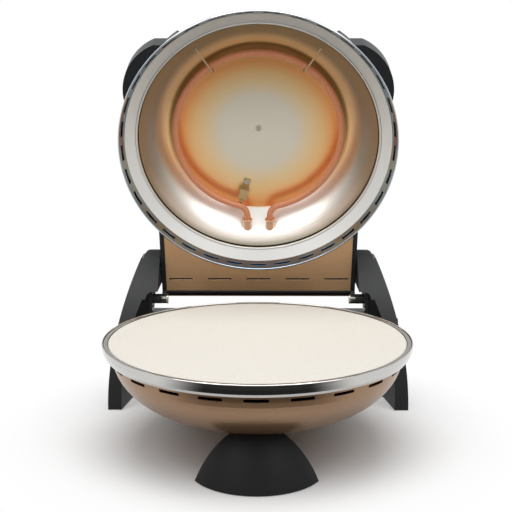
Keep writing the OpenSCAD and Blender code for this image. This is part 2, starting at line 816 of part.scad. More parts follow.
lamp_z = knob_z + 32;

// The pilot lamp's lens, set in the right leg above the thermostat.
module pilot_lamp() {
  skin_x = leg_out_x - leg_side_r + sqrt(pow(leg_side_r, 2) - pow(lamp_z, 2));
  at_base() color("#d9481f") translate([0, knob_y, lamp_z]) {
    rod_x(3, skin_x - 4.5, skin_x + 0.6);
    rod_x(4.2, skin_x - 6.5, skin_x - leg_wall - 1.5);
  }
}

module terminal_block() {
  pole_pitch = 11;
  at_base() color(ceramic_white)
    translate([-saddle_bolt_x - 40, bridge_y1 + bridge_wall + seat, gland_z - 4]) difference() {
      cube([3 * pole_pitch + 1, 16, 12]);
      for (i = [0:2]) translate([6 + i * pole_pitch, 8, 4]) cylinder(r = 2.2, h = 10);
    }
}

module cable_gland() {
  at_base() color(black) translate([gland_x, 0, gland_z]) difference() {
    union() {
      rod_y(7, leg_back_y - 12, leg_back_y - 0.5);
      rod_y(9, leg_back_y - cover_t - 3, leg_back_y - cover_t - seat);
    }
    rod_y(cord_hole_r, leg_back_y - 20, leg_back_y + 5);
  }
}

// A pan-head screw along Y with its head at y = 0 and its tip towards -Y.
module screw_y(head_r, shank_r, shank_l) {
  difference() {
    union() {
      rod_y(head_r, 0, 1.4);
      rod_y(shank_r, -shank_l, 0.1);
    }
    translate([-0.4, 0.8, -head_r * 0.6]) cube([0.8, 2, head_r * 1.2]);
    translate([-head_r * 0.6, 0.8, -0.4]) cube([head_r * 1.2, 2, 0.8]);
  }
}

module cover_screws() {
  at_base() color(steel) {
    for (side = [0, 1]) mirror([side, 0, 0]) for (p = screw_spots)
      translate([p[0], leg_back_y - 1.5, p[1]]) screw_y(2.9, 1.5, 9);
    for (p = bridge_spots) translate([p[0], leg_back_y - 1.5, p[1]]) screw_y(2.9, 1.5, 9);
  }
}

module bracket_screws() {
  at_base() color(steel) {
    for (side = [0, 1]) mirror([side, 0, 0]) for (p = bracket_holes) translate([0, p[0], p[1]]) {
      rod_x(3.6, post_x - 6, post_x - 4 - seat);
      rod_x(2.1, post_x - 4.2, post_x + 5);
    }
    for (x = [-1, 1]) translate([x * saddle_bolt_x, 0, saddle_bolt_z]) {
      rod_y(4.4, bridge_y1 + bridge_wall + seat, bridge_y1 + bridge_wall + 3);
      rod_y(saddle_bolt_r, bridge_y1 - 9, bridge_y1 + bridge_wall + 0.2);
      rod_y(4.4, bridge_y1 - 6, bridge_y1 - 3 - seat);
    }
    for (i = [2, 3]) on_bowl(bowl_screws[i][0], bowl_screws[i][1]) bowl_screw(bracket_t);
  }
}

// ---- Lid, drawn closed with its lip at Z = 0 ----

module upper_shell() {
  at_lid() color(copper) difference() {
    spun(concat(dome_points(0), [for (i = [len(dome_points(0)) - 1:-1:0]) dome_points(dome_wall)[i]]));
    translate([-40, dome_r - 20, dome_z + 10]) cube([80, 40, 10]);
    for (side = [0, 1]) mirror([side, 0, 0]) handle_screw_rods(2.3, -16, 14);
  }
}

module flare_slot_cuts() {
  lean = atan((rim_r - 2 * bead_r - flare_r) / (flare_h - bead_r));
  for (i = [0:flare_slots - 1]) rotate([0, 0, 90 + i * 360 / flare_slots])
    translate([(rim_r + flare_r) / 2 - 0.6, 0, flare_h / 2]) rotate([0, -lean, 0])
      cube([4, flare_slot_l, flare_slot_w], center = true);
}

// Underside of the rim's collar, which lies over the lip, at radius r.
function collar_low(r) = lip_z(r) + lip_t + 2 * seat;

// The polished band with its inward flare, which is slotted to let hot air out.
module upper_rim() {
  at_lid() color(steel) difference() {
    spun(concat(
      mirrored(band_points(0)),
      [[dome_at(collar_z) + seat, collar_z], [dome_at(skirt_z) + seat, collar_low(dome_at(skirt_z))],
        [band_low_r - 0.4, collar_low(band_low_r - 0.4)]],
      mirrored([for (i = [3:-1:1]) band_points(rim_sheet)[i]]),
      [[rim_r - rim_sheet - 0.3, bead_r * 3], [flare_r + 0.8, flare_h + 0.3], [flare_r + 0.8, flare_h + 1.2],
        [flare_r, flare_h + 1.2], [flare_r, flare_h], [rim_r - 2 * bead_r, bead_r]],
      arc(rim_r - bead_r, bead_r, bead_r, -180, 0, 8)));
    flare_slot_cuts();
  }
}

function mirrored(points) = [for (p = points) [p[0], -p[1]]];

// The reflector's wall, an arc from its mouth up to the disc, moved out by this much.
wall_from = [mouth_r - lip_bead_r, mouth_z];
wall_chord = [disc_r, disc_z] - wall_from;
wall_l = norm(wall_chord);
wall_arc_r = (pow(wall_l / 2, 2) + pow(wall_bulge, 2)) / (2 * wall_bulge);
wall_centre = wall_from + wall_chord / 2
  - [wall_chord[1], -wall_chord[0]] / wall_l * (wall_arc_r - wall_bulge);
wall_mid_a = atan2(-wall_chord[0], wall_chord[1]);
wall_half_a = asin(wall_l / 2 / wall_arc_r);
wall_steps = 12;
function reflector_wall(out) = arc(wall_centre[0], wall_centre[1], wall_arc_r + out,
  wall_mid_a - wall_half_a, wall_mid_a + wall_half_a, wall_steps);
function reflector_r(z) = lookup(z, [for (p = reflector_wall(0)) [p[1], p[0]]]);

module upper_reflector() {
  at_lid() color(satin) difference() {
    spun(concat(
      [[flare_r - seat, flare_h]],
      arc(mouth_r, mouth_z, lip_bead_r, 0, -180, 8),
      [for (i = [1:wall_steps]) reflector_wall(0)[i]],
      [[0, disc_z], [0, disc_z + pan_sheet]],
      [for (i = [wall_steps:-1:1]) reflector_wall(pan_sheet)[i]],
      [[mouth_r + lip_bead_r / 2, mouth_z + lip_bead_r], [flare_r - seat, flare_h + lip_t]]));
    ferrule_holes(upper_ring_z);
    cylinder(r = 2.1, h = disc_z + 5);
    at_clamp() translate([0, clamp_screw_y, 0]) cylinder(r = 2.1, h = disc_z + 5);
  }
}

module upper_element() {
  at_lid() color(glow) translate([0, 0, upper_ring_z]) heating_ring();
}

module upper_element_clips() {
  clip_az = 34;
  wire_r = 1.2;
  low = upper_ring_z - tube_r - wire_r - seat;
  at_lid() color(satin) for (side = [-1, 1]) rotate([0, 0, side * clip_az]) translate([0, 0, low]) {
    rod_y(wire_r, 1 - reflector_r(low), -ring_r + tube_r + wire_r);
    translate([0, -ring_r + tube_r + wire_r + seat, 0]) cylinder(r = wire_r, h = 7);
  }
}

module upper_terminals() {
  at_lid() color(ceramic_white) translate([0, 0, upper_ring_z]) ring_terminals();
}

clamp_x = -ring_end_x - 5;
clamp_y = ring_r - 15;
clamp_turn = 18;
clamp_screw_y = -13.5;
clamp_t = 1.2;

module at_clamp() {
  translate([clamp_x, clamp_y, 0]) rotate([0, 0, clamp_turn]) children();
}

// Strap that is screwed to the disc and passes behind one end of the ring.
module ring_clamp() {
  strap_z = upper_ring_z + tube_r + seat;
  at_lid() color(steel) at_clamp() difference() {
    union() {
      translate([-4.5, -18, disc_z - clamp_t - seat]) cube([9, 12, clamp_t]);
      translate([-5.5, -7, strap_z]) cube([11, clamp_t, disc_z - seat - strap_z]);
      translate([-5.5, -7, strap_z]) cube([11, 13, clamp_t]);
      translate([-1.8, 5, strap_z]) cube([3.6, 12, clamp_t]);
      translate([-1.8, 6.4, upper_ring_z]) cube([3.6, clamp_t, strap_z - upper_ring_z + 0.5]);
    }
    translate([0, clamp_screw_y, 0]) cylinder(r = 2.1, h = disc_z + 5);
  }
}

module disc_screw(under) {
  translate([0, 0, disc_z - 2 * seat - under - 1.8]) cylinder(r = 3.4, h = 1.8);
  translate([0, 0, disc_z - under - 1]) cylinder(r = 1.9, h = 7 + under);
  translate([0, 0, disc_z + pan_sheet + seat]) cylinder(r = 3.6, h = 2.4, $fn = 6);
}

// Screws through the reflector's disc, each with its head below and a nut above.
module reflector_screws() {
  at_lid() color(steel) {
    disc_screw(0);
    at_clamp() translate([0, clamp_screw_y, 0]) disc_screw(clamp_t);
  }
}

neck_front_y = hinge_y - 119.5;      // where the neck starts, inside the rim
slit_pitch = (2 * (neck_x - slit_edge) - slit_l) / (slit_count - 1);

module neck_panel() {
  at_lid() color(copper) difference() {
    translate([-neck_x + 0.3, neck_front_y, 1]) cube([2 * neck_x - 0.6, hinge_y - 7.5 - neck_front_y, 1.2]);
    translate([0, 0, -1]) cylinder(r = rim_r + 0.6, h = 10);
    for (i = [0:slit_count - 1]) translate([(i - (slit_count - 1) / 2) * slit_pitch, hinge_y - 24.5, 0])
      cube([slit_l, 1.6, 10], center = true);
  }
}

// Side section of the neck's top cover, from the dome back to the bar.
cover_line = [for (p = [[-99.5, 44], [-49.5, 41], [-19.5, 33], [-2.5, 18], [2.5, 4]]) [hinge_y + p[0], p[1]]];

module neck_cover() {
  at_lid() color(copper) difference() {
    translate([-neck_x + 0.3, 0, 0]) rotate([90, 0, 90]) linear_extrude(2 * neck_x - 0.6)
      polygon(concat(cover_line, [for (i = [4:-1:0]) cover_line[i] - [1.0, 1.2]]));
    dome_solid(0.3);
  }
}

module dome_solid(grow) {
  spun(concat([[0, -1], [rim_r + 0.6, -1], [rim_r + 0.6, band_h + 0.3], [band_low_r + 0.3, band_h + 0.3],
      [dome_at(collar_z) + seat + 0.3, collar_z + 0.3]],
    [for (p = dome_points(-grow)) if (p[1] > collar_z + 0.5) p]));
}

module neck_bar() {
  at_lid() color(black) translate([0, hinge_y - 4.5, 4]) rod_x(3.4, -neck_x + 0.3, neck_x - 0.3);
}

arm_eye = pin_r + 3;     // reach of a hinge arm round its pin

module hinge_arm() {
  translate([neck_x, 0, 0]) difference() {
    rotate([90, 0, 90]) linear_extrude(arm_t)
      polygon([[neck_front_y, 0.5], [hinge_y - 7.5, 0.5], [hinge_y, -hinge_drop - lid_gap - arm_eye],
        [hinge_y + arm_eye, -hinge_drop - lid_gap], [hinge_y + 4.5, 6], [hinge_y - 0.5, 21],
        [hinge_y - 18.5, 36], [hinge_y - 49.5, 44], [neck_front_y, 47]]);
    translate([-neck_x, 0, 0]) dome_solid(0.3);
    translate([-10, hinge_y, -hinge_drop - lid_gap]) rod_x(pin_r + run_gap, 0, 30);
  }
}

module left_hinge_arm() {
  at_lid() color(black) mirror([1, 0, 0]) hinge_arm();
}

module right_hinge_arm() {
  at_lid() color(black) hinge_arm();
}

handle_reach = rim_r + handle_out;
handle_mid_z = handle_low + handle_h / 2;
handle_screw_a = 12;
wall_a = asin((handle_mid_z - dome_z) / dome_corner_r);   // lean of the lid's wall there
wall_r = dome_cx + dome_corner_r * cos(wall_a);
handle_head_r = 3.8;
// Depth of a handle screw's head that clears the lid's leaning inner face.
handle_head_in = dome_wall / cos(wall_a) + handle_head_r * tan(wall_a) + 0.45;

// A moulded ear with a flat front end, on a flange that follows the lid.
module handle() {
  flange_r = rim_r - 4;
  flange_h = 14;
  front_cut = [handle_reach - 30.7, 13 - handle_curve_r];   // a point on the flat front end
  front_turn = 33.5;
  difference() {
    rotate([0, 0, handle_az - 90]) union() {
      intersection() {
        translate([handle_reach - handle_curve_r, 0, handle_low]) cylinder(r = handle_curve_r, h = handle_h);
        translate(front_cut) rotate([0, 0, front_turn]) translate([-100, 0, 0]) cube([200, 200, 100]);
      }
      intersection() {
        translate([0, 0, handle_low + 3]) cylinder(r = flange_r, h = flange_h);
        translate([rim_r - 51.5, 2 - handle_curve_r, 0]) cube([60, 2 * handle_curve_r - 2, 100]);
      }
    }
    dome_solid(seat);
    handle_screw_rods(2.05, -6, 16);
  }
}

// Rods through the lid's wall to a handle, from d1 to d2 beyond the wall's outer face.
module handle_screw_rods(r, d1, d2) {
  for (a = [-1, 1]) rotate([0, 0, handle_az - 90 + a * handle_screw_a])
    translate([wall_r, 0, handle_mid_z]) rod_x(r, d1, d2);
}

module left_handle() {
  at_lid() color(black) mirror([1, 0, 0]) handle();
}

module right_handle() {
  at_lid() color(black) handle();
}

module handle_screws() {
  at_lid() color(steel) for (side = [0, 1]) mirror([side, 0, 0]) {
    handle_screw_rods(2, -handle_head_in - 0.2, 15);
    handle_screw_rods(handle_head_r, -handle_head_in - 1.5, -handle_head_in);
  }
}

lower_shell();
lower_rim();
lower_pan();
baking_stone();
lower_element();
lower_element_posts();
lower_terminals();
front_foot();
foot_base();
foot_pad();
foot_bracket();
foot_screws();
left_leg();
right_leg();
left_leg_cover();
right_leg_cover();
leg_pads();
rear_bridge();
bridge_cover();
bowl_saddle();
left_hinge_bracket();
right_hinge_bracket();
hinge_pins();
hinge_washers();
thermostat_body();
thermostat_shaft();
thermostat_knob();
timer_body();
timer_shaft();
timer_knob();
pilot_lamp();
terminal_block();
cable_gland();
cover_screws();
bracket_screws();
upper_shell();
upper_rim();
upper_reflector();
upper_element();
upper_element_clips();
upper_terminals();
ring_clamp();
reflector_screws();
neck_panel();
neck_cover();
neck_bar();
left_hinge_arm();
right_hinge_arm();
left_handle();
right_handle();
handle_screws();
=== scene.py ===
import math

import bmesh
import bpy
from mathutils import Matrix, Vector


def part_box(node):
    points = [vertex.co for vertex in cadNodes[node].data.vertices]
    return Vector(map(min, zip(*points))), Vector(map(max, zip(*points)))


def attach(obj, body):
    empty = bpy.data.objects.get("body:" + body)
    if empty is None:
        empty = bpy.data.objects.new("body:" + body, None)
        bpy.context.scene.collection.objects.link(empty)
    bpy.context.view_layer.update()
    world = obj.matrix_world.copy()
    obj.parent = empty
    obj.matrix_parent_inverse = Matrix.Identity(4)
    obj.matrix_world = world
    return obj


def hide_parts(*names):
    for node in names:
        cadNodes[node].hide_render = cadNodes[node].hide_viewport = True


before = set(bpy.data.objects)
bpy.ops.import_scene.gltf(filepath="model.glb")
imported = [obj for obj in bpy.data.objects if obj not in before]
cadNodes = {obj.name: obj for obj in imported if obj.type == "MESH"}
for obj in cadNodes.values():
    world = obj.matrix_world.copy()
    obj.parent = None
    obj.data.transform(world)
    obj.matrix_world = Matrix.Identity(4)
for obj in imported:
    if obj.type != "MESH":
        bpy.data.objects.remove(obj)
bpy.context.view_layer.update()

print("frame loaded:", len(cadNodes), "nodes")

# measures that several pieces share, in metres
hearth = {"axisY": -0.03975, "rimZ": 0.119}     # the stone's axis, and the top edge of the base rim
lid = {
    "open": math.radians(70.7),
    "hingeY": 0.15975, "hingeZ": 0.114,         # the hinge pins
    "axisBack": 0.1995,                         # from the lid's axis back to the pins, when closed
    "lift": 0.006,                              # the lip of the closed lid above the pins
    "discR": 0.106, "discZ": 0.062,             # the reflector's disc
}
ring = {"height": 0.046, "endX": 0.014}         # the lid's heater above the lip, and its ends to the sides


def openLid():
    # takes a point of the closed lid, with its lip at z = 0 and its axis at the origin, to the open lid
    return (Matrix.Translation((0, lid["hingeY"], lid["hingeZ"])) @ Matrix.Rotation(-lid["open"], 4, "X")
            @ Matrix.Translation((0, -lid["axisBack"], lid["lift"])))


def onRim():
    return Matrix.Translation((0, hearth["axisY"], hearth["rimZ"]))


def linear(hexColour):
    # sRGB hex to the linear colour that the shader wants
    parts = [int(hexColour[i:i + 2], 16) / 255 for i in (1, 3, 5)]
    return [c / 12.92 if c <= 0.04045 else ((c + 0.055) / 1.055) ** 2.4 for c in parts] + [1]


def addNode(material, kind, settings=None, **inputs):
    # adds one node, sets its properties, and links or fills its inputs by name or as i0, i1 ...
    made = material.node_tree.nodes.new(kind)
    for name, value in (settings or {}).items():
        if name == "stops":
            ramp = made.color_ramp
            while len(ramp.elements) < len(value):
                ramp.elements.new(0.5)
            for element, (place, colour) in zip(ramp.elements, value):
                element.position = place
                element.color = linear(colour)
        else:
            setattr(made, name, value)
    for name, value in inputs.items():
        socket = made.inputs[int(name[1:])] if name[1:].isdigit() else made.inputs[name.replace("_", " ")]
        if isinstance(value, bpy.types.NodeSocket):
            material.node_tree.links.new(value, socket)
        else:
            socket.default_value = value
    return made


def newMaterial(name, colour, roughness, metallic=0.0, **inputs):
    material = bpy.data.materials.new(name)
    material.use_nodes = True
    shader = material.node_tree.nodes["Principled BSDF"]
    shader.inputs["Base Color"].default_value = linear(colour)
    shader.inputs["Roughness"].default_value = roughness
    shader.inputs["Metallic"].default_value = metallic
    for name, value in inputs.items():
        shader.inputs[name.replace("_", " ")].default_value = value
    return material, shader


def feed(material, socket, output):
    material.node_tree.links.new(output, socket)


def millimetres(material, matrix=None):
    # object coordinates in millimetres, in the frame, or in the frame that the matrix puts a piece in
    toOwn = (matrix or Matrix()).inverted()
    whole = addNode(material, "ShaderNodeTexCoord").outputs["Object"]
    return addNode(material, "ShaderNodeMapping", Vector=whole, Location=toOwn.translation * 1000,
                   Rotation=toOwn.to_euler(), Scale=(1000, 1000, 1000)).outputs[0]


fullMarkRadius = 150                            # in mm: here the marks of turning are as long as asked
oneMark = 1.0                                   # the grain's size in the coordinates of these marks


def turned(material, matrix, across, along):
    # coordinates for marks of turning or spinning: fine across the radius, long round the matrix's axis
    place = millimetres(material, matrix)
    flat = addNode(material, "ShaderNodeVectorMath", {"operation": "MULTIPLY"}, i0=place, i1=(1, 1, 0))
    length = addNode(material, "ShaderNodeVectorMath", {"operation": "LENGTH"}, i0=flat.outputs[0])
    radius = length.outputs["Value"]
    right, back, height = addNode(material, "ShaderNodeSeparateXYZ", i0=place).outputs
    turn = addNode(material, "ShaderNodeMath", {"operation": "ARCTAN2"}, i0=back, i1=right)
    fine = addNode(material, "ShaderNodeMath", {"operation": "MULTIPLY"}, i0=radius, i1=1 / across)
    slow = addNode(material, "ShaderNodeMath", {"operation": "MULTIPLY"}, i0=turn.outputs[0],
                   i1=fullMarkRadius / along)
    high = addNode(material, "ShaderNodeMath", {"operation": "MULTIPLY"}, i0=height, i1=1 / across)
    marks = addNode(material, "ShaderNodeCombineXYZ", i0=fine.outputs[0], i1=slow.outputs[0],
                    i2=high.outputs[0])
    return marks.outputs[0], radius, back, height


bumps = {"deepest": 0.0001, "fineShare": 0.6}   # in metres, and the share that each finer octave has


def grain(material, shader, place, size, relief, detail=2.0, roughSpread=0.0):
    # a fine relief of this size in the place's own units, in the bump and a little in the roughness
    noise = addNode(material, "ShaderNodeTexNoise", Vector=place, Scale=1 / size, Detail=detail,
                    Roughness=bumps["fineShare"])
    bump = addNode(material, "ShaderNodeBump", Height=noise.outputs[0], Strength=relief,
                   Distance=bumps["deepest"])
    feed(material, shader.inputs["Normal"], bump.outputs[0])
    if roughSpread:
        middle = shader.inputs["Roughness"].default_value
        spread = addNode(material, "ShaderNodeMapRange", Value=noise.outputs[0], To_Min=middle - roughSpread,
                         To_Max=middle + roughSpread)
        feed(material, shader.inputs["Roughness"], spread.outputs[0])
    return noise.outputs[0]


enamel = {"colour": "#B08A68", "shade": "#A5805E", "roughness": 0.33, "metallic": 0.55}
# a lighter copy of the enamel: painted light for the neck panel
paintedLitEnamel = {"colour": "#E8BB8C", "shade": "#DCAE80", "roughness": 0.4, "metallic": 0.3}
spray = {"flakeMm": 0.9, "cloudMm": 60, "peelMm": 1.6, "peel": 0.06, "clearCoat": 0.25,
         "clearRoughness": 0.15, "shadeAt": 0.1, "colourAt": 0.45}


def makeEnamel(name, tint):
    # copper-coloured metallic enamel, sprayed on pressed steel: soft champagne sheen, faint orange peel
    material, shader = newMaterial(name, tint["colour"], tint["roughness"], tint["metallic"],
                                   Coat_Weight=spray["clearCoat"], Coat_Roughness=spray["clearRoughness"])
    place = millimetres(material)
    flake = addNode(material, "ShaderNodeTexNoise", Vector=place, Scale=1 / spray["flakeMm"], Detail=1.0)
    cloud = addNode(material, "ShaderNodeTexNoise", Vector=place, Scale=1 / spray["cloudMm"], Detail=2.0)
    blend = addNode(material, "ShaderNodeMath", {"operation": "MULTIPLY"}, i0=flake.outputs[0],
                    i1=cloud.outputs[0])
    tone = addNode(material, "ShaderNodeValToRGB", {"stops": [
        (spray["shadeAt"], tint["shade"]), (spray["colourAt"], tint["colour"])]}, i0=blend.outputs[0])
    feed(material, shader.inputs["Base Color"], tone.outputs[0])
    grain(material, shader, place, spray["peelMm"], spray["peel"])
    return material


polish = {"colour": "#C6C5C2", "roughness": 0.07, "markMm": 0.35, "markLongMm": 60, "relief": 0.03,
          "roughSpread": 0.03}
lidPolish = {"colour": "#E4E4E3", "roughness": 0.12, "flareReflectionTint": "#A3B6C8",
             "flareR": 160.6, "flareHigh": 12.2, "fade": 0.8}           # in mm from the lid's axis and lip


def makePolish():
    # stainless steel sheet, spun and polished: mirror-bright, with hairline turning marks
    material, shader = newMaterial("polishedStainlessSteel", polish["colour"], polish["roughness"],
                                   metallic=1.0)
    marks = turned(material, onRim(), polish["markMm"], polish["markLongMm"])[0]
    grain(material, shader, marks, oneMark, polish["relief"], roughSpread=polish["roughSpread"])
    return material


def makeLidPolish():
    # the same sheet on the lid, painted paler as a lit copy, where the marks run round the lid's own axis
    material, shader = newMaterial("polishedStainlessSteelLid", lidPolish["colour"],
                                   lidPolish["roughness"], metallic=1.0)
    marks, radius, back, height = turned(material, openLid(), polish["markMm"], polish["markLongMm"])
    # the slotted flare inside the band is tinted blue-grey: a painted dark reflection
    within = addNode(material, "ShaderNodeMapRange", Value=radius, From_Min=lidPolish["flareR"],
                     From_Max=lidPolish["flareR"] + lidPolish["fade"], To_Min=1, To_Max=0)
    below = addNode(material, "ShaderNodeMapRange", Value=height, From_Min=lidPolish["flareHigh"],
                    From_Max=lidPolish["flareHigh"] + lidPolish["fade"], To_Min=1, To_Max=0)
    onFlare = addNode(material, "ShaderNodeMath", {"operation": "MULTIPLY"}, i0=within.outputs[0],
                      i1=below.outputs[0])
    tone = addNode(material, "ShaderNodeMix", {"data_type": "RGBA"}, i0=onFlare.outputs[0],
                   i6=linear(lidPolish["colour"]), i7=linear(lidPolish["flareReflectionTint"]))
    feed(material, shader.inputs["Base Color"], tone.outputs[2])
    grain(material, shader, marks, oneMark, polish["relief"], roughSpread=polish["roughSpread"])
    return material


satin = {"colour": "#8E8A84", "roughness": 0.34, "markMm": 0.25, "markLongMm": 25, "relief": 0.12,
         "roughSpread": 0.08}


def makeSatin():
    # stainless pan pressed with a satin finish: a dull even grey with short circular brush marks
    material, shader = newMaterial("satinStainlessSteel", satin["colour"], satin["roughness"], metallic=1.0)
    marks = turned(material, onRim(), satin["markMm"], satin["markLongMm"])[0]
    grain(material, shader, marks, oneMark, satin["relief"], roughSpread=satin["roughSpread"])
    return material


reflector = {
    # straw, tan and orange paint the ring's glow on the disc and the wall
    "bare": "#DCDBD8", "disc": "#DFDBD0", "straw": "#ECD3A8", "tan": "#F2C68C", "orange": "#F6AA6A",
    "wallLow": "#B0B0A2", "wallPaintedLight": "#EDEBE5", "edge": "#96794A", "beadShadow": "#0F0D0B",
    "roughness": 0.35, "metallic": 0.85, "markMm": 0.3, "markLongMm": 40, "relief": 0.03,
    "roughSpread": 0.03,
    "lean": 0.09,                               # how much further in the tints reach, up the open lid
    "tintMm": 110,                              # the disc's tints stand at shares of this radius
    # the olive edge tone paints shade where the disc meets the wall
    "discTints": [(0.0, "disc"), (0.40, "disc"), (0.58, "straw"), (0.72, "tan"), (0.84, "orange"),
                  (0.92, "tan"), (0.96, "edge")],
    # and the wall's at shares of the way from the lip to the disc: the painted shadow line is just inside
    # the bead
    "wallTints": [(0.0, "bare"), (0.314, "bare"), (0.318, "beadShadow"), (0.35, "beadShadow"), (0.362, "wallLow"),
                  (0.75, "wallLow"), (0.89, "straw"), (0.96, "tan"), (0.995, "edge")],
    "paintedLightMm": (30, 105),                       # painted light: the wall gets brighter between these, down the open lid
    "paintedLightRiseMm": (22.5, 30),                      # and between these heights above the lip
    "bendMm": (-1.5, 2),                        # wall takes over from disc between these, from its edge
}


def makeReflector():
    # aluminised steel, spun and lightly brushed: pale satin grey; the straw and orange near the ring are its
    # painted glow, and the wall has painted shade and painted light
    material, shader = newMaterial("aluminisedReflectorSheet", reflector["bare"], reflector["roughness"],
                                   reflector["metallic"])
    marks, radius, back, height = turned(material, openLid(), reflector["markMm"], reflector["markLongMm"])
    # the painted glow reaches further in on the upper half of the open lid
    glowShift = addNode(material, "ShaderNodeMath", {"operation": "MULTIPLY_ADD"}, i0=back,
                   i1=-reflector["lean"], i2=radius)
    reach = addNode(material, "ShaderNodeMath", {"operation": "MULTIPLY"}, i0=glowShift.outputs[0],
                    i1=1 / reflector["tintMm"])
    climb = addNode(material, "ShaderNodeMath", {"operation": "MULTIPLY"}, i0=height,
                    i1=1 / (lid["discZ"] * 1000))
    discStops = [(place, reflector[tint]) for place, tint in reflector["discTints"]]
    wallStops = [(place, reflector[tint]) for place, tint in reflector["wallTints"]]
    discTint = addNode(material, "ShaderNodeValToRGB", {"stops": discStops}, i0=reach.outputs[0])
    wallTint = addNode(material, "ShaderNodeValToRGB", {"stops": wallStops}, i0=climb.outputs[0])
    # painted light: the wall is painted brighter low in the open lid
    paintedLightLow = addNode(material, "ShaderNodeMapRange", {"interpolation_type": "SMOOTHSTEP"}, Value=back,
                    From_Min=reflector["paintedLightMm"][0], From_Max=reflector["paintedLightMm"][1])
    clear = addNode(material, "ShaderNodeMapRange", Value=height, From_Min=reflector["paintedLightRiseMm"][0],
                    From_Max=reflector["paintedLightRiseMm"][1])
    bright = addNode(material, "ShaderNodeMath", {"operation": "MULTIPLY"}, i0=paintedLightLow.outputs[0],
                     i1=clear.outputs[0])
    wall = addNode(material, "ShaderNodeMix", {"data_type": "RGBA"}, i0=bright.outputs[0],
                   i6=wallTint.outputs[0], i7=linear(reflector["wallPaintedLight"]))
    discEdge = lid["discR"] * 1000
    onWall = addNode(material, "ShaderNodeMapRange", {"interpolation_type": "SMOOTHSTEP"}, Value=radius,
                     From_Min=discEdge + reflector["bendMm"][0], From_Max=discEdge + reflector["bendMm"][1])
    colour = addNode(material, "ShaderNodeMix", {"data_type": "RGBA"}, i0=onWall.outputs[0],
                     i6=discTint.outputs[0], i7=wall.outputs[2])
    feed(material, shader.inputs["Base Color"], colour.outputs[2])
    grain(material, shader, marks, oneMark, reflector["relief"], roughSpread=reflector["roughSpread"])
    return material


stone = {"colour": "#E6E2DA", "grainShade": "#DCD6CA", "shadeAt": 0.3, "colourAt": 0.62,
         "roughness": 0.92, "grainMm": 1.2, "relief": 0.25,
         "speck": "#C6BDAB", "speckMm": 4.0, "speckFade": (0.05, 0.12), "speckStrength": 0.5}


def makeStone():
    # fired refractory clay, pressed and left unglazed: cream-white and matt, with fine grog in it
    material, shader = newMaterial("firedRefractoryStone", stone["colour"], stone["roughness"])
    place = millimetres(material)
    noise = grain(material, shader, place, stone["grainMm"], stone["relief"], detail=4.0)
    speck = addNode(material, "ShaderNodeTexVoronoi", Vector=place, Scale=1 / stone["speckMm"])
    tone = addNode(material, "ShaderNodeValToRGB", {"stops": [
        (stone["shadeAt"], stone["grainShade"]), (stone["colourAt"], stone["colour"])]}, i0=noise)
    dark = addNode(material, "ShaderNodeMapRange", Value=speck.outputs[0], From_Min=stone["speckFade"][0],
                   From_Max=stone["speckFade"][1], To_Min=stone["speckStrength"], To_Max=0.0)
    colour = addNode(material, "ShaderNodeMix", {"data_type": "RGBA"}, i0=dark.outputs[0],
                     i6=tone.outputs[0], i7=linear(stone["speck"]))
    feed(material, shader.inputs["Base Color"], colour.outputs[2])
    return material


heater = {"hot": "#E2976F", "bright": "#EBA67E", "hotAt": 0.3, "brightAt": 0.8, "glow": "#D8602C",
          "glowStrength": 0.08, "roughness": 0.45, "metallic": 0.2, "grainMm": 2.5, "relief": 0.03}


def makeHotTube():
    # sheathed heater tube at work: its salmon orange colour and a dull red emission are painted glow
    material, shader = newMaterial("heaterTubePaintedGlow", heater["hot"], heater["roughness"], heater["metallic"],
                                   Emission_Strength=heater["glowStrength"],
                                   Emission_Color=linear(heater["glow"]))
    noise = grain(material, shader, millimetres(material), heater["grainMm"], heater["relief"])
    tone = addNode(material, "ShaderNodeValToRGB", {"stops": [
        (heater["hotAt"], heater["hot"]), (heater["brightAt"], heater["bright"])]}, i0=noise)
    feed(material, shader.inputs["Base Color"], tone.outputs[0])
    return material


plastic = {"colour": "#262728", "roughness": 0.42, "specular": 0.25, "grainMm": 0.35, "relief": 0.35,
           "roughSpread": 0.05}
footPlastic = {"colour": "#121213", "roughness": 0.5, "specular": 0.2, "grainMm": 0.49, "relief": 0.45,
               "roughSpread": 0.05}


def makePlastic(name, mould):
    # glass-filled nylon from a spark-eroded mould: near-black with a soft, broad sheen
    material, shader = newMaterial(name, mould["colour"], mould["roughness"],
                                   Specular_IOR_Level=mould["specular"])
    grain(material, shader, millimetres(material), mould["grainMm"], mould["relief"],
          roughSpread=mould["roughSpread"])
    return material


plain = {"shadeAt": 0.35, "colourAt": 0.65, "roughSpread": 0.04}


def makePlain(name, colour, shade, roughness, grainMm, relief, metallic=0.0, **inputs):
    # a finish of two close tones that follow its own fine relief
    material, shader = newMaterial(name, colour, roughness, metallic, **inputs)
    noise = grain(material, shader, millimetres(material), grainMm, relief,
                  roughSpread=plain["roughSpread"])
    tone = addNode(material, "ShaderNodeValToRGB", {"stops": [
        (plain["shadeAt"], shade), (plain["colourAt"], colour)]}, i0=noise)
    feed(material, shader.inputs["Base Color"], tone.outputs[0])
    return material


copperEnamel = makeEnamel("copperMetallicEnamel", enamel)
# the neck's flat panel gets a lighter, more even copy of the enamel: painted light against the shade it sits
# in under the lid
paintedLitPanel = makeEnamel("copperEnamelPaintedLit", paintedLitEnamel)
polishedSteel = makePolish()
lidSteel = makeLidPolish()
satinSteel = makeSatin()
aluminised = makeReflector()
firedStone = makeStone()
hotTube = makeHotTube()
blackPlastic = makePlastic("blackMouldedNylon", plastic)
# the big foot comes from a coarser mould and looks more matt; its darker colour is painted shade from the
# bowl above it
mattShadedPlastic = makePlastic("mattBlackMouldedNylon", footPlastic)
